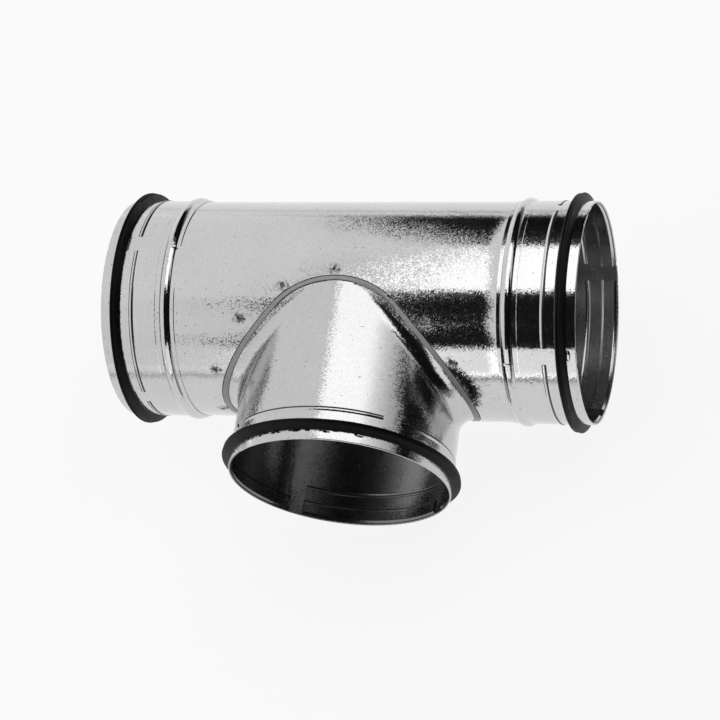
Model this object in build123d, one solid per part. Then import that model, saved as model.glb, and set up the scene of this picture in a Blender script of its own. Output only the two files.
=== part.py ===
"""Round duct tee in galvanised sheet with three gasketed spigots of one size.

Frame: the run lies along X, the branch leaves along -Y, +Z is up and the two axes cross at the origin.
All sizes are in millimetres and degrees. Distances called "at" are measured from a mouth's rim inward.
"""

import os
from math import sqrt

from build123d import *

# Main sizes
collar_od = 124.0
sheet = 0.6
left_reach = 136.0
right_reach = 134.0
branch_reach = 106.5

# Stop bead of the run's collars
bead_at = 37.9
bead_width = 6.4
bead_height = 1.75
collar_past_bead = 2.0
tube_past_bead = 1.7

# Pressed ridge, low enough to pass inside a duct, in four segments
ridge_at = 18.0
ridge_width = 2.6
ridge_height = 0.4

# Folded hem and gasket channel at each mouth
hem_width = 5.3
channel_at = 2.4
channel_width = 6.0
channel_depth = 1.2
channel_slope = 1.2
channel_round = 0.7
gap_slope_end = 13.0

# Segments around each spigot, and the angle of one gap: from +Y on the run, from +X on the branch, towards +Z
segments = 4
gap_angle = 8.0
end_wall_angle = 0.6
left_gap_angle = 80.5
right_gap_angle = 138.5
branch_gap_angle = 50.4

# Rubber gasket: lips above the collar
gasket_width = 6.3
lip_height = 4.65
lip_at = 2.3
second_lip_height = 4.3
second_lip_at = 4.4
lip_round = 0.6
lip_groove_height = 3.8

# Saddle: the neck, its bend, and the outlines seen along Z
neck_to_rim = 30.5
neck_inset = 1.0
bend_radius = 9.0
hole_reach = 12.0
hole_peak = 8.5
flange_width = 15.0
flange_peak = 0.5
sealant_width = 3.8
sealant_peak = 2.5
sealant_below_tube = 0.1
sealant_round = 0.35

# Sizes that follow from those above
collar_r = collar_od / 2
tube_r = collar_r - sheet
tube_inner_r = tube_r - sheet
bead_near = bead_at - bead_width / 2
bead_far = bead_at + bead_width / 2
bead_r = collar_r + bead_height
channel_far = channel_at + channel_width
channel_inner_r = tube_r - channel_depth
channel_outer_r = channel_inner_r + sheet
channel_outside = [(channel_far, channel_outer_r), (channel_at + sheet / 2, channel_outer_r)]
channel_inside = [(channel_at, channel_inner_r), (channel_far + sheet / 3, channel_inner_r)]
notch_at = sheet + 0.8
ridge_near = ridge_at - ridge_width / 2
ridge_far = ridge_at + ridge_width / 2
pitch = 360 / segments
segment_angle = pitch - gap_angle - 2 * end_wall_angle
gasket_far = hem_width + gasket_width
gap_foot_r = collar_r - sheet * (gap_slope_end - gasket_far) / (gap_slope_end - hem_width)


def section(start, *steps):
    """Face bounded by (distance from rim, radius) points; a pair of points is an arc through the first."""

    def put(point):
        return (point[1], 0, point[0])

    edges = []
    here = start
    for step in (*steps, start):
        if isinstance(step[0], tuple):
            via, there = step
            edges.append(ThreePointArc(put(here), put(via), put(there)))
        else:
            there = step
            edges.append(Line(put(here), put(there)))
        here = there
    return make_face(edges)


def rounded(face, radius, *corners):
    """The face with its corners at the given (distance from rim, radius) points rounded."""
    picked = [face.vertices().sort_by_distance((r, 0, at))[0] for at, r in corners]
    return fillet(picked, radius)


def turned(face, first, sweep):
    """The face swept round the spigot's axis from one angle by another."""
    return Rotation(0, 0, first) * revolve(face, Axis.Z, sweep)


def collar_outside(back, ridge, channel):
    """Outer line of a spigot from its inner end to the rim, as points for a section."""
    line = list(back)
    if ridge:
        line.append((ridge_far, collar_r))
        line.append(((ridge_at, collar_r + ridge_height), (ridge_near, collar_r)))
    if channel:
        line.append((channel_far + channel_slope, collar_r))
        line += channel_outside
        line.append((notch_at, tube_r))
    else:
        line.append((gap_slope_end, collar_r))
    line.append((hem_width, tube_r))
    line.append((hem_width, collar_r))
    line.append((sheet, collar_r))
    return line


def collar_inside(front, ridge, channel):
    """Inner line of a spigot from the rim to its inner end."""
    line = [((0, tube_r), (sheet, tube_inner_r)), (2 * sheet, tube_inner_r)]
    if channel:
        line += channel_inside
        line.append((channel_far + channel_slope + sheet / 2, tube_r))
    else:
        line.append((hem_width + sheet / 2, tube_inner_r))
        line.append((gap_slope_end, tube_r))
    if ridge:
        line.append((ridge_near, tube_r))
        line.append(((ridge_at, tube_r + ridge_height), (ridge_far, tube_r)))
    return line + list(front)


def spigot(back, front):
    """Spigot end with its ridge and channel pressed in segments, rim at the origin and body along +Z."""
    pressed = section(*collar_outside(back, True, True), *collar_inside(front, True, True))
    pressed = rounded(pressed, channel_round, *channel_outside)
    pressed = rounded(pressed, channel_round + sheet, *channel_inside)
    plain = section(*collar_outside(back, False, False), *collar_inside(front, False, False))
    wall = section(*collar_outside(back, False, False), *collar_inside(front, False, True))
    wall = rounded(wall, channel_round + sheet, *channel_inside)
    first = gap_angle / 2
    pieces = []
    for number in range(segments):
        turn = number * pitch
        pieces.append(turned(plain, turn - first, gap_angle))
        pieces.append(turned(wall, turn + first, end_wall_angle))
        pieces.append(turned(pressed, turn + first + end_wall_angle, segment_angle))
        pieces.append(turned(wall, turn + pitch - first - end_wall_angle, end_wall_angle))
    return pieces[0].fuse(*pieces[1:]).clean()


def lips():
    """Outer line of the gasket from the hem's edge over both lips, as points for a section."""
    first = hem_width + lip_at
    second = hem_width + second_lip_at
    top = collar_r + lip_height
    second_top = collar_r + second_lip_height
    return [
        (hem_width, collar_r),
        (first - lip_round, top - lip_round),
        ((first, top), (first + lip_round, top - lip_round)),
        ((first + second) / 2, collar_r + lip_groove_height),
        (second - lip_round / 2, second_top - lip_round / 4),
        ((second, second_top), (second + lip_round, second_top - lip_round)),
    ]


def gasket():
    """Rubber ring that fills the channel and the space under the hem, rim at the origin and body along +Z."""
    foot = section(
        (notch_at, tube_r),
        (hem_width, tube_r),
        *lips(),
        (gasket_far, collar_r),
        (channel_far + channel_slope, collar_r),
        *channel_outside,
    )
    foot = rounded(foot, channel_round, *channel_outside)
    bare = section((hem_width, tube_r), *lips(), (gasket_far, gap_foot_r))
    bare_angle = gap_angle + 2 * end_wall_angle
    pieces = []
    for number in range(segments):
        turn = number * pitch
        pieces.append(turned(bare, turn - bare_angle / 2, bare_angle))
        pieces.append(turned(foot, turn + bare_angle / 2, segment_angle))
    return pieces[0].fuse(*pieces[1:]).clean()


def along_run(side, reach, angle):
    """Place for a spigot on the run: side is +1 at the right end and -1 at the left."""
    return Location((side * reach, 0, 0)) * Rotation(0, -90 * side, 0) * Rotation(0, 0, 90 - side * angle)


def along_branch(angle):
    """Place for the spigot on the branch."""
    return Location((0, -branch_reach, 0)) * Rotation(-90, 0, 0) * Rotation(0, 0, -angle)


def outline(reach, peak_y):
    """Prism along Z over the branch: a right-angled V seen from above, its peak rounded down to peak_y."""
    depth = 2 * collar_r
    v = Polyline((0, reach), (reach + depth, -depth), (-reach - depth, -depth), close=True)
    face = make_face(v)
    peak = face.vertices().sort_by(Axis.Y)[-1]
    face = fillet(peak, (reach - peak_y) / (sqrt(2) - 1))
    return extrude(face, 2 * collar_r, both=True)


def crossing(run_r, neck_inner_end_r, neck_outer_end_r, bend):
    """Solid run and neck crossing at the origin, blended by one bend."""
    neck_length = branch_reach - neck_to_rim
    run = Rotation(0, 90, 0) * Cylinder(run_r, 4 * collar_r)
    outward = (Align.CENTER, Align.CENTER, Align.MIN)
    neck = Cone(neck_inner_end_r, neck_outer_end_r, neck_length, align=outward)
    both = run + Rotation(90, 0, 0) * neck
    seam = both.edges().filter_by(GeomType.BSPLINE)
    return fillet(seam, bend)


# Run collars, each with a bead that the tube's end is rolled into
collar_end = bead_far + collar_past_bead
bead_back = [
    (collar_end, collar_r),
    (bead_far, collar_r),
    ((bead_at, bead_r), (bead_near, collar_r)),
]
bead_front = [
    (bead_near, tube_r),
    ((bead_at, bead_r - sheet), (bead_far, tube_r)),
    (collar_end, tube_r),
]
run_spigot = spigot(bead_back, bead_front)
left_place = along_run(-1, left_reach, left_gap_angle)
right_place = along_run(1, right_reach, right_gap_angle)
branch_place = along_branch(branch_gap_angle)
left_collar = left_place * run_spigot
right_collar = right_place * run_spigot

# Gaskets
ring = gasket()
left_gasket = left_place * ring
right_gasket = right_place * ring
branch_gasket = branch_place * ring

# Run tube: one length of sheet with a bead near each end, cut away over the branch
tube_end = bead_near - tube_past_bead


def tube_line(radius, crest):
    """One side of the tube from its left end to its right end."""
    line = []
    for side, reach in ((-1, left_reach), (1, right_reach)):
        start = (side * (reach - tube_end), radius)
        foot = (side * (reach - bead_near), radius)
        arc = ((side * (reach - bead_at), crest), (side * (reach - bead_far), radius))
        back = ((side * (reach - bead_at), crest), foot)
        if side < 0:
            line += [start, foot, arc]
        else:
            line += [(side * (reach - bead_far), radius), back, start]
    return line


def reversed_line(line):
    """The same line of points walked the other way."""
    ends = [step[1] if isinstance(step[0], tuple) else step for step in line]
    walked = [ends[-1]]
    for step, end in zip(reversed(line), reversed(ends[:-1])):
        walked.append((step[0], end) if isinstance(step[0], tuple) else end)
    return walked


tube_outside = tube_line(tube_r, bead_r - sheet)
tube_inside = reversed_line(tube_line(tube_inner_r, bead_r - 2 * sheet))
whole_tube = Rotation(0, 90, 0) * revolve(section(*tube_outside, *tube_inside), Axis.Z, 360)
hole = outline(hole_reach, -hole_peak)
run_tube = whole_tube - hole

# Branch saddle: flange and bend and neck from one blended crossing, then the spigot end
neck_root_r = tube_inner_r - neck_inset
blend = crossing(tube_inner_r, neck_root_r, collar_r, bend_radius)
hollow = crossing(tube_inner_r - sheet, neck_root_r - sheet, collar_r - sheet, bend_radius + sheet)
saddle = (blend - hollow) & outline(hole_reach + flange_width, flange_peak)
spigot_back = [(neck_to_rim, collar_r)]
spigot_front = [(neck_to_rim, tube_r)]
branch_saddle = saddle + branch_place * spigot(spigot_back, spigot_front)

# Sealant strip with round shoulders, inside the tube's cut edge, on the flange and the start of the bend
sealant_r = tube_r - sealant_below_tube
strip = outline(hole_reach, -hole_peak) - outline(hole_reach - sealant_width, -hole_peak - sealant_peak)
layer = Rotation(0, 90, 0) * (Cylinder(sealant_r, 4 * collar_r) - Cylinder(tube_inner_r, 4 * collar_r))
square_strip = (layer & strip) - blend
upper_face = square_strip.faces().sort_by(SortBy.AREA)[-1]
saddle_sealant = fillet(upper_face.edges(), sealant_round)

# One file for each piece
os.makedirs("parts", exist_ok=True)
pieces = {
    "run_tube": run_tube,
    "left_collar": left_collar,
    "right_collar": right_collar,
    "branch_saddle": branch_saddle,
    "saddle_sealant": saddle_sealant,
    "left_gasket": left_gasket,
    "right_gasket": right_gasket,
    "branch_gasket": branch_gasket,
}
for name, piece in pieces.items():
    export_step(piece, f"parts/{name}.step")
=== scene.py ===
import math
import random

import bmesh
import bpy
from mathutils import Euler, Matrix, Vector


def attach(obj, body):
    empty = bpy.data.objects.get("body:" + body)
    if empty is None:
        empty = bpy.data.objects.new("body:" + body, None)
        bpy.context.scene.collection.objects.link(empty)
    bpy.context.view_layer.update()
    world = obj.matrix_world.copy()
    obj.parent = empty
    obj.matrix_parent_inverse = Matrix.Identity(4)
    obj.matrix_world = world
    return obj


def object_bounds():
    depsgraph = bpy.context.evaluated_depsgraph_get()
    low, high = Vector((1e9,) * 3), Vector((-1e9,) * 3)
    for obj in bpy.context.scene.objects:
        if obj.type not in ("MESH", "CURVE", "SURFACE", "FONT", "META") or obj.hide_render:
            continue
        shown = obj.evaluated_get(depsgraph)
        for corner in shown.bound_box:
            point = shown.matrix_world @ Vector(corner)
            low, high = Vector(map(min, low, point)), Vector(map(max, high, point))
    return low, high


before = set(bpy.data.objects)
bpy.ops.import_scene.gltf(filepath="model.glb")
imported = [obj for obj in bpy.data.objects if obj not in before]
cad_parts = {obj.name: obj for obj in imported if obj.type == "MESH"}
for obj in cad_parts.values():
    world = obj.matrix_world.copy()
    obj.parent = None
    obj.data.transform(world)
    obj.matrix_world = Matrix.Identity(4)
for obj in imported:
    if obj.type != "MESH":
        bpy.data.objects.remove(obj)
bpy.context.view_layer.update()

scene = bpy.context.scene
scene.view_settings.view_transform = "Standard"

# Sizes of the solids that the pieces sit on, in metres.
mm = 0.001
floor_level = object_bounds()[0].z
tube_r = 61.4 * mm
collar_r = 62.0 * mm
left_reach = 136.0 * mm
right_reach = 134.0 * mm
branch_reach = 106.5 * mm
ridge_at = 18.0 * mm
ridge_half_width = 1.3 * mm
collar_end_at = 43.1 * mm

# Sizes of forms that the solids lack.
witness_at = 31.7 * mm
flare_length = 8.0 * mm
flare_height = 0.42 * mm
ridge_height = 0.42 * mm

# Edges of the sealant seen from above, as circles: radius, and the centre's place along Y, in millimetres.
outer_edge = (49.6, -58.0)
inner_edge = (46.3, -57.35)

# Spot welds that hold the saddle's flange under the tube: one side of the run, mirrored below.
upper_welds = [
    Vector(point) * mm for point in (
        (-76.0, -61.4, -2.4), (-71.3, -52.9, 31.2), (-54.7, -31.7, 52.6),
        (-29.8, -14.6, 59.6), (-1.3, -4.9, 61.2), (30.8, -19.5, 58.2),
        (49.6, -33.1, 51.7), (64.6, -49.1, 36.9), (73.7, -60.6, 9.6),
    )
]
lower_welds = [Vector((point.x, point.y, -point.z)) for point in upper_welds[1:-1]]
welds = upper_welds + lower_welds


# Materials: a value is a number on its way to a socket, and a finish is the
# material that it belongs to.

class Value:
    """A number that changes over a surface; sums with it add Math nodes."""

    def __init__(self, finish, socket):
        self.finish = finish
        self.socket = socket

    def reckon(self, operation, first, second):
        return self.finish.node("ShaderNodeMath", {"operation": operation}, {0: first, 1: second})

    def __add__(self, other):
        return self.reckon("ADD", self, other)

    def __radd__(self, other):
        return self.reckon("ADD", other, self)

    def __sub__(self, other):
        return self.reckon("SUBTRACT", self, other)

    def __rsub__(self, other):
        return self.reckon("SUBTRACT", other, self)

    def __mul__(self, other):
        return self.reckon("MULTIPLY", self, other)

    def __rmul__(self, other):
        return self.reckon("MULTIPLY", other, self)

    def least(self, other):
        return self.reckon("MINIMUM", self, other)

    def most(self, other):
        return self.reckon("MAXIMUM", self, other)


class Finish:
    """A material made node by node."""

    def __init__(self, name):
        self.material = bpy.data.materials.new(name)
        self.material.use_nodes = True
        self.tree = self.material.node_tree
        self.tree.nodes.clear()

    def node(self, kind, settings=None, sockets=None, output=0):
        made = self.tree.nodes.new(kind)
        for key, value in (settings or {}).items():
            setattr(made, key, value)
        for key, value in (sockets or {}).items():
            if isinstance(value, Value):
                self.tree.links.new(value.socket, made.inputs[key])
            else:
                made.inputs[key].default_value = value
        return Value(self, made.outputs[output]) if made.outputs else None

    def place(self):
        """The point on the piece, in metres."""
        return self.node("ShaderNodeTexCoord", output="Object")

    def noise(self, place, size, detail=2.0, roughness=0.5):
        """Cloudy noise from 0 to 1 with patches of about the given size."""
        return self.node(
            "ShaderNodeTexNoise", {"noise_dimensions": "3D"},
            {"Vector": place, "Scale": 1 / size, "Detail": detail, "Roughness": roughness},
        )

    def step(self, value, low, high):
        """0 below low, 1 above high, and a soft rise between."""
        return self.node(
            "ShaderNodeMapRange", {"interpolation_type": "SMOOTHSTEP"},
            {"Value": value, "From Min": low, "From Max": high},
        )

    def between(self, value, first, second):
        """A number that goes from first to second as the value goes from 0 to 1."""
        return self.node(
            "ShaderNodeMapRange", {}, {"Value": value, "To Min": first, "To Max": second},
        )

    def tint(self, value, dark, light):
        """A colour between two, by the value."""
        return self.node(
            "ShaderNodeMix", {"data_type": "RGBA"},
            {0: value, 6: (*dark, 1), 7: (*light, 1)}, output=2,
        )

    def vector(self, operation, first, second=None, output="Vector"):
        sockets = {0: first}
        if second is not None:
            sockets[1] = second
        return self.node("ShaderNodeVectorMath", {"operation": operation}, sockets, output)

    def mixed(self, value, colour, other):
        """A colour that turns into the other as the value goes from 0 to 1."""
        return self.node(
            "ShaderNodeMix", {"data_type": "RGBA"},
            {0: value, 6: colour, 7: (*other, 1)}, output=2,
        )

    def near(self, place, points, inner, outer):
        """1 within the inner distance of any of the points, 0 beyond the outer."""
        nearest = None
        for point in points:
            away = self.vector("DISTANCE", place, tuple(point), "Value")
            nearest = nearest.least(away) if nearest else away
        return 1 - self.step(nearest, inner, outer)

    def bump(self, height, depth, normal=None):
        """A surface whose height rises by the depth, in metres, from 0 to 1."""
        sockets = {"Height": height, "Distance": depth, "Strength": 1.0}
        if normal:
            sockets["Normal"] = normal
        return self.node("ShaderNodeBump", {}, sockets)

    def surface(self, sockets):
        shader = self.node("ShaderNodeBsdfPrincipled", {}, sockets)
        self.node("ShaderNodeOutputMaterial", {}, {"Surface": shader})
        return self.material


def painted_ridge_shade(finish, place, across, ridges):
    """1 on the far flank of the pressed ridges, where shade is painted, 0 elsewhere."""
    along = finish.node("ShaderNodeSeparateXYZ", {}, {0: place}, "XYZ"[across.index(0)])
    radius = finish.vector("LENGTH", finish.vector("MULTIPLY", place, across), output="Value")
    flank = None
    for centre in ridges:
        past = finish.step(along, centre, centre + 0.3 * mm)
        past = past * (1 - finish.step(along, centre + 1.2 * mm, centre + 1.5 * mm))
        flank = flank.most(past) if flank else past
    return flank * finish.step(radius, collar_r + 0.06 * mm, collar_r + 0.14 * mm)


def galvanised(
    name, across, marks=(), ridges=(), tone=1.0, inside_shade=0.5, grain=0.5 * mm, lean=0.06, shine=0.09,
):
    """Bright zinc-coated sheet: small grains that each lean their own way, over a gentle wave.

    The side that faces the axis is a little rougher, and darkened with painted shade;
    across picks the two coordinates across that axis.
    Marks are the spot welds on it, and ridges the places along the axis of pressed ridges,
    whose far flank is darkened with painted shade and made rougher.
    """
    finish = Finish(name)
    place = finish.place()
    crystals = finish.noise(place, 3 * mm, 3, 0.6)
    cloud = finish.noise(place, 38 * mm, 2)
    specks = finish.step(finish.noise(place, 1.5 * mm, 0), 0.78, 0.84)
    facing = finish.node("ShaderNodeNewGeometry", output="Normal")
    outward = finish.vector("DOT_PRODUCT", facing, finish.vector("MULTIPLY", place, across), "Value")
    inside = 1 - finish.step(outward, -10 * mm, 10 * mm)
    wave = finish.bump(finish.noise(place, 30 * mm, 1), 0.14 * mm)
    grains = finish.node(
        "ShaderNodeTexVoronoi", {"feature": "F1"}, {"Vector": place, "Scale": 1 / grain}, "Color",
    )
    tilt = finish.vector("MULTIPLY", finish.vector("SUBTRACT", grains, (0.5, 0.5, 0.5)), (lean, lean, lean))
    glint = finish.node("ShaderNodeSeparateXYZ", {}, {0: grains}, "X")
    dark, light = ((level * tone, level * tone, level * tone) for level in (0.48, 0.70))
    colour = finish.tint(cloud * 0.35 + crystals * 0.3 + glint * 0.35, dark, light)
    colour = finish.mixed(specks * 0.6, colour, (0.2, 0.2, 0.2))
    # Painted shade: the side that faces the axis is darkened towards 0.12 grey.
    colour = finish.mixed(inside * inside_shade, colour, (0.12, 0.12, 0.12))
    roughness = finish.between(crystals, shine - 0.02, shine + 0.04) + specks * 0.2 + inside * 0.10
    if marks:
        scorch = finish.near(place, marks, 1.5 * mm, 5 * mm) * finish.step(crystals, 0.44, 0.58)
        colour = finish.mixed(scorch * 0.85, colour, (0.05, 0.05, 0.05))
        roughness = roughness + scorch * 0.2
        wave = finish.bump(finish.near(place, marks, 0, 6 * mm), -0.04 * mm, wave)
    if ridges:
        # Painted shade: the far flank of each ridge turns nearly black, and rougher.
        flank = painted_ridge_shade(finish, place, across, ridges)
        colour = finish.mixed(flank * 0.92, colour, (0.02, 0.02, 0.02))
        roughness = roughness + flank * 0.3
    return finish.surface({
        "Base Color": colour,
        "Metallic": 1.0,
        "Roughness": roughness,
        "Normal": finish.vector("NORMALIZE", finish.vector("ADD", wave, tilt)),
    })


def weld_scar(name):
    """Burnt zinc in the pit of a spot weld."""
    finish = Finish(name)
    burn = finish.noise(finish.place(), 0.7 * mm, 3, 0.7)
    return finish.surface({
        "Base Color": finish.tint(burn, (0.015, 0.015, 0.015), (0.11, 0.11, 0.11)),
        "Metallic": 0.4,
        "Roughness": finish.between(burn, 0.35, 0.75),
        "Normal": finish.bump(burn, 0.15 * mm),
    })


def black_rubber(name):
    finish = Finish(name)
    place = finish.place()
    cloud = finish.noise(place, 9 * mm, 3, 0.6)
    grit = finish.noise(place, 0.6 * mm, 2)
    dust = finish.step(finish.noise(place, 14 * mm, 4, 0.7), 0.5, 0.78)
    return finish.surface({
        "Base Color": finish.tint(dust, (0.003, 0.003, 0.003), (0.010, 0.010, 0.010)),
        "Roughness": finish.between(cloud, 0.36, 0.60),
        "Specular IOR Level": 0.12,
        "Normal": finish.bump(grit, 0.03 * mm),
    })


def grey_sealant(name):
    finish = Finish(name)
    place = finish.place()
    cloud = finish.noise(place, 3 * mm, 3, 0.6)
    facing = finish.node("ShaderNodeNewGeometry", output="Normal")
    outward = finish.vector("NORMALIZE", finish.vector("MULTIPLY", place, (0, 1, 1)))
    # Painted shade: the sealant darkens nearly to black where it slopes down into the joints on both sides.
    edge = 1 - finish.step(finish.vector("DOT_PRODUCT", facing, outward, "Value"), 0.55, 0.97)
    colour = finish.tint(cloud, (0.27, 0.27, 0.27), (0.44, 0.44, 0.44))
    return finish.surface({
        "Base Color": finish.mixed(edge * 0.9, colour, (0.02, 0.02, 0.02)),
        "Roughness": finish.between(cloud, 0.24, 0.42),
        "Normal": finish.bump(cloud, 0.08 * mm),
    })


def pale_floor(name):
    """White ground that keeps the shadow; the camera sees it white all over.

    The metal mirrors it white near the part and on two wide patches to its left, and dim
    elsewhere, which gives the sheet its dark bands.
    """
    white_within = 0.40
    dim_beyond = 0.65
    dimming = 0.85
    patches = ((-0.85, -1.15, 0), (-0.8, 1.0, 0))
    patch_growth = 0.3
    finish = Finish(name)
    light_path = finish.tree.nodes.new("ShaderNodeLightPath")
    camera, glossy, through = (
        Value(finish, light_path.outputs[key])
        for key in ("Is Camera Ray", "Is Glossy Ray", "Is Transmission Ray")
    )
    seen = camera.most(glossy).most(through)
    paper = finish.node("ShaderNodeBsdfDiffuse", {}, {"Color": (0.8, 0.8, 0.8, 1)})
    bright_paper = finish.node("ShaderNodeBsdfDiffuse", {}, {"Color": (0.95, 0.95, 0.95, 1)})
    place = finish.place()
    away = finish.vector("LENGTH", place, output="Value")
    for patch in patches:
        away = away.least(finish.vector("DISTANCE", place, patch, "Value") - patch_growth)
    mirrored = 1 - finish.step(away, white_within, dim_beyond) * dimming
    white = finish.node(
        "ShaderNodeEmission", {}, {"Color": (1, 1, 1, 1), "Strength": mirrored.most(camera)},
    )
    shown = finish.node("ShaderNodeMixShader", {}, {0: 0.87, 1: bright_paper, 2: white})
    floor = finish.node("ShaderNodeMixShader", {}, {0: seen, 1: paper, 2: shown})
    finish.node("ShaderNodeOutputMaterial", {}, {"Surface": floor})
    return finish.material


def dress(node, material):
    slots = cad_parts[node].data.materials
    slots.clear()
    slots.append(material)


along_run = (0, 1, 1)
along_branch = (1, 0, 1)
# Each sheet paints shade on its side that faces the axis: most on the saddle, least on the collars.
tube_sheet = galvanised("tube_sheet", along_run, welds, inside_shade=0.3)
collar_sheet = galvanised(
    "collar_sheet", along_run, ridges=(ridge_at - left_reach, right_reach - ridge_at), inside_shade=0.1,
)
saddle_sheet = galvanised(
    "saddle_sheet", along_branch, ridges=(ridge_at - branch_reach,),
    tone=0.92, inside_shade=0.8, lean=0.09, shine=0.13,
)
rubber = black_rubber("black_rubber")
sealant = grey_sealant("grey_sealant")
scar = weld_scar("weld_scar")
dress("run_tube", tube_sheet)
dress("left_collar", collar_sheet)
dress("right_collar", collar_sheet)
dress("branch_saddle", saddle_sheet)
for node in ("left_gasket", "right_gasket", "branch_gasket"):
    dress(node, rubber)
dress("saddle_sealant", sealant)


# Small pieces that the solids leave out.

def piece(name, shape, material):
    """A finished piece that rides on the body."""
    bmesh.ops.remove_doubles(shape, verts=shape.verts, dist=0.001 * mm)
    bmesh.ops.recalc_face_normals(shape, faces=shape.faces)
    mesh = bpy.data.meshes.new(name)
    shape.to_mesh(mesh)
    shape.free()
    for face in mesh.polygons:
        face.use_smooth = True
    mesh.materials.append(material)
    made = bpy.data.objects.new(name, mesh)
    scene.collection.objects.link(made)
    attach(made, "root")


def lathe(shape, profile, steps, place, sweep=2 * math.pi):
    """Spin (radius, height) points round the Z axis of a place, from its X axis."""
    before = set(shape.verts)
    line = [shape.verts.new((radius, 0, height)) for radius, height in profile]
    edges = [shape.edges.new(pair) for pair in zip(line, line[1:])]
    bmesh.ops.spin(
        shape, geom=line + edges, axis=(0, 0, 1), cent=(0, 0, 0), angle=sweep, steps=steps,
        use_merge=sweep == 2 * math.pi,
    )
    made = [vert for vert in shape.verts if vert not in before]
    bmesh.ops.transform(shape, matrix=place, verts=made)


def lump(shape, size, place):
    """A small ball pressed to the given half sizes."""
    pressed = place @ Matrix.Diagonal((*size, 1))
    bmesh.ops.create_icosphere(shape, subdivisions=2, radius=1, matrix=pressed)


def on_run(point, sideways=0.0, around=0.0):
    """Place on the run's skin with Z outward, moved along the run and around it."""
    outward = Vector((0, point.y, point.z))
    outward.rotate(Matrix.Rotation(around / outward.length, 3, "X"))
    spot = Vector((point.x + sideways, outward.y, outward.z))
    outward.normalize()
    along = Vector((1, 0, 0))
    place = Matrix((along, outward.cross(along), outward)).transposed().to_4x4()
    place.translation = spot
    return place


def branch_turn(angle):
    """Place with Z out along the branch and X turned from the run by an angle, towards the top."""
    return Matrix.Rotation(math.pi / 2, 4, "X") @ Matrix.Rotation(math.radians(angle), 4, "Z")


def weld_spots():
    """Each spot: a big crater, a small one beside it and a few beads of spatter."""
    chance = random.Random(5)
    rims = bmesh.new()
    pits = bmesh.new()
    for point in welds:
        for sideways, size in ((0, 1.0), (3.1 * mm, 0.6)):
            wide = size * chance.uniform(0.9, 1.3)
            narrow = size * chance.uniform(0.8, 1.0)
            squash = Matrix.Diagonal((wide, narrow, size, 1))
            turn = Matrix.Rotation(chance.uniform(0, math.pi), 4, "Z")
            place = on_run(point, sideways, chance.uniform(-0.4, 0.4) * mm) @ turn @ squash
            rim = [(1.0, 0.02), (1.15, 0.16), (1.35, 0.2), (1.55, 0.08), (1.8, -0.04)]
            pit = [(0, 0.03), (0.7, 0.05), (1.12, 0.12)]
            lathe(rims, [(radius * mm, height * mm) for radius, height in rim], 20, place)
            lathe(pits, [(radius * mm, height * mm) for radius, height in pit], 16, place)
        for _ in range(6):
            place = on_run(point, chance.gauss(1.2, 2.4) * mm, chance.gauss(0, 1.6) * mm)
            lump(rims, [chance.uniform(0.22, 0.45) * mm for _ in range(2)] + [0.16 * mm], place)
    piece("weld_rims", rims, tube_sheet)
    piece("weld_pits", pits, scar)


def witness_lines():
    """Faint raised line round each collar, where the tube's end lies under it."""
    line = [(-0.6, -0.02), (-0.3, 0.015), (0, 0.025), (0.3, 0.015), (0.6, -0.02)]
    for name, centre in (("left", -left_reach + witness_at), ("right", right_reach - witness_at)):
        shape = bmesh.new()
        place = Matrix.Translation((centre, 0, 0)) @ Matrix.Rotation(math.pi / 2, 4, "Y")
        lathe(shape, [(collar_r + height * mm, at * mm) for at, height in line], 256, place)
        piece(name + "_witness_line", shape, collar_sheet)


def right_flare():
    """The tube's end swells a little where it enters the right collar."""
    shape = bmesh.new()
    steps = 12
    sunk = 0.015 * mm
    profile = []
    for step in range(steps + 1):
        rise = flare_height * (1 - step / steps) ** 2 - sunk
        profile.append((tube_r + rise, collar_end_at + flare_length * step / steps))
    place = Matrix.Translation((right_reach, 0, 0)) @ Matrix.Rotation(-math.pi / 2, 4, "Y")
    lathe(shape, profile, 256, place)
    piece("right_flare", shape, tube_sheet)


def branch_ridges():
    """The pressed ridge on the branch's upper and left quarters, which its solid lacks."""
    shape = bmesh.new()
    sunk = 0.01 * mm
    profile = []
    for share in (-1, -0.77, -0.5, -0.23, 0, 0.23, 0.5, 0.77, 1):
        rise = ridge_height * (1 - share ** 2) - sunk
        profile.append((collar_r + rise, branch_reach - ridge_at + ridge_half_width * share))
    for start in (55.0, 145.0):
        lathe(shape, profile, 80, branch_turn(start), math.radians(80.8))
    piece("branch_ridges", shape, saddle_sheet)


def rubber_smears():
    """Rubber rubbed off on the branch's hem, along the gasket's edge."""
    chance = random.Random(11)
    shape = bmesh.new()
    for _ in range(26):
        spot = Matrix.Translation((collar_r, 0, branch_reach - chance.uniform(4.4, 5.2) * mm))
        size = (0.12 * mm, chance.uniform(0.6, 1.8) * mm, chance.uniform(0.3, 0.7) * mm)
        lump(shape, size, branch_turn(chance.uniform(62, 138)) @ spot)
    piece("rubber_smears", shape, rubber)


def handling_marks():
    """Nicks in the zinc, a bulge in the right hem and the pinched seams of the beads."""
    nicks = bmesh.new()
    for point in ((-93.6, 17.5, 58.8), (90.7, -58.2, 19.6), (106.1, -53.9, 29.3)):
        lump(nicks, (0.8 * mm, 0.4 * mm, 0.12 * mm), on_run(Vector(point) * mm))
    scratch = on_run(Vector((63.2, 35.9, 49.8)) * mm) @ Matrix.Rotation(math.radians(-17), 4, "Z")
    lump(nicks, (8.2 * mm, 0.12 * mm, 0.07 * mm), scratch)
    piece("handling_nicks", nicks, scar)
    bulges = bmesh.new()
    lump(bulges, (1.3 * mm, 3.6 * mm, 0.6 * mm), on_run(Vector((129.6, -46.0, 41.5)) * mm))
    lump(bulges, (2.2 * mm, 1.5 * mm, 0.5 * mm), on_run(Vector((-96.8, 8.0, 63.0)) * mm))
    lump(bulges, (2.0 * mm, 1.2 * mm, 0.4 * mm), on_run(Vector((95.7, -50.5, 38.5)) * mm))
    piece("hem_and_bead_bulges", bulges, collar_sheet)


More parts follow.
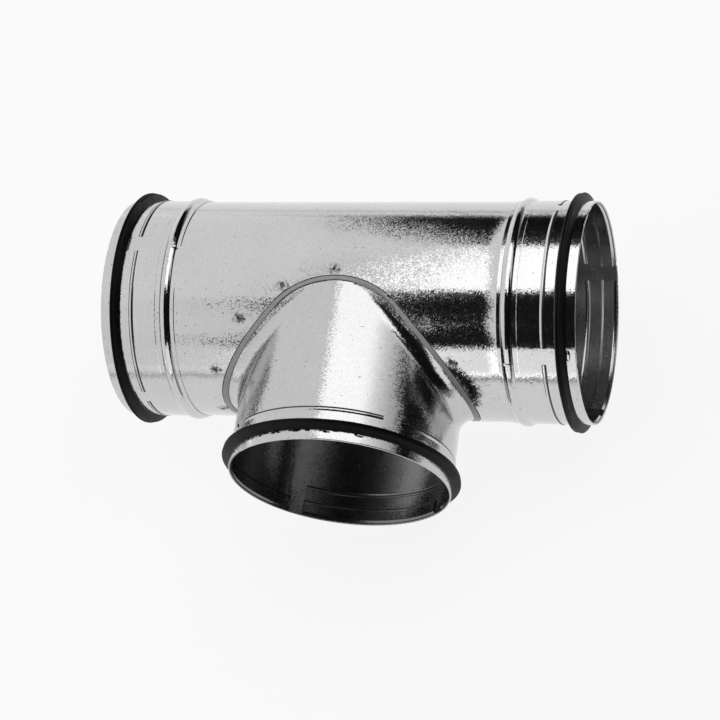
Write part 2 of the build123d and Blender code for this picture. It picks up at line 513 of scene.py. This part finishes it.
def squeezed_sealant():
    """A wavy thread of sealant pressed out past the strip's inner edge."""
    chance = random.Random(3)
    thread = bmesh.new()
    for count in range(34):
        x = (11 + count * 0.68) * mm
        y = math.sqrt((46.35 * mm) ** 2 - x * x) - (57.55 + chance.uniform(0, 0.5)) * mm
        spot = Vector((x, y, math.sqrt(collar_r ** 2 - y * y)))
        size = (chance.uniform(0.5, 0.9) * mm, chance.uniform(0.25, 0.5) * mm, 0.3 * mm)
        lump(thread, size, on_run(spot))
    piece("squeezed_sealant", thread, sealant)


def sealant_shade_lines():
    """Dark thread of painted shade along both edges of the sealant, above and below, in the burnt weld
    material.
    """
    shape = bmesh.new()
    for edge, centre in (outer_edge, inner_edge):
        for count in range(-68, 69):
            x = count * 0.5
            y = centre + math.sqrt(edge ** 2 - x ** 2)
            z = math.sqrt((tube_r / mm) ** 2 - y ** 2)
            slope = -x / math.sqrt(edge ** 2 - x ** 2) * tube_r / mm / z
            for side in (1, -1):
                lie = Matrix.Rotation(side * math.atan(slope), 4, "Z")
                spot = on_run(Vector((x, y, side * z)) * mm) @ lie
                lump(shape, (0.5 * mm, 0.13 * mm, 0.2 * mm), spot)
    piece("sealant_shade_lines", shape, scar)


weld_spots()
witness_lines()
right_flare()
sealant_shade_lines()
branch_ridges()
rubber_smears()
handling_marks()
squeezed_sealant()


# The studio: white ground in a dark room, with soft lights on the left, above and in front.

def ground():
    shape = bmesh.new()
    bmesh.ops.create_circle(shape, cap_ends=True, segments=96, radius=12)
    bmesh.ops.translate(shape, verts=shape.verts, vec=(0, 0, floor_level))
    mesh = bpy.data.meshes.new("ground")
    shape.to_mesh(mesh)
    shape.free()
    mesh.materials.append(pale_floor("pale_ground"))
    floor = bpy.data.objects.new("ground", mesh)
    scene.collection.objects.link(floor)


def soft_light(name, centre, towards, width, height, level):
    """A flat soft light whose face has the given level, where 1 is white."""
    light = bpy.data.lights.new(name, "AREA")
    light.shape = "RECTANGLE"
    light.size = width
    light.size_y = height
    light.energy = level * math.pi * width * height
    lamp = bpy.data.objects.new(name, light)
    turn = (-Vector(towards)).to_track_quat("Z", "Y").to_matrix().to_4x4()
    lamp.matrix_world = Matrix.Translation(centre) @ turn
    lamp.visible_camera = False
    scene.collection.objects.link(lamp)


ground()
soft_light("left_panel", (-0.62, 0.85, 1.08), (1, 0, 0), 2.7, 2.24, 0.95)
soft_light("left_front", (-0.62, -1.0, 0.86), (1, 0, 0), 1.0, 1.8, 0.9)
soft_light("left_low", (-0.62, -1.8, 0.36), (1, 0, 0), 0.6, 0.84, 0.9)
soft_light("top_box", (0.26, 0.575, 1.31), (0, 0, -1), 1.18, 1.40, 1.7)
fading = (
    (0.85, 1.05, 1.4), (1.05, 1.3, 1.15), (1.3, 1.65, 0.95), (1.65, 2.2, 0.75), (2.2, 3.4, 0.6),
)
for start, end, level in fading:
    middle = (start + end) / 2
    soft_light(f"top_fade_{start}", (middle, 0.95, 1.31), (0, 0, -1), end - start, 1.1, level)
soft_light("front_card", (0.1, -1.0, 0.22), (0, 1, 0), 0.9, 0.58, 1.15)

room = bpy.data.worlds.new("room")
room.use_nodes = True
room.node_tree.nodes["Background"].inputs["Color"].default_value = (0.006, 0.006, 0.006, 1)
scene.world = room


# The camera at the photograph's viewing angle: its place in metres, and its turns in degrees.

picture_px = 720
focal_px = 2641.52
camera_place = Vector((0.41976, -0.63301, 1.29090))
camera_turn = Euler([math.radians(angle) for angle in (26.1482, 14.3734, 7.9810)])
camera_data = bpy.data.cameras.new("camera")
camera_data.sensor_width = 36
camera_data.lens = camera_data.sensor_width * focal_px / picture_px
camera_data.clip_end = 20
camera = bpy.data.objects.new("camera", camera_data)
scene.collection.objects.link(camera)
camera.matrix_world = Matrix.LocRotScale(camera_place, camera_turn, None)
scene.camera = camera
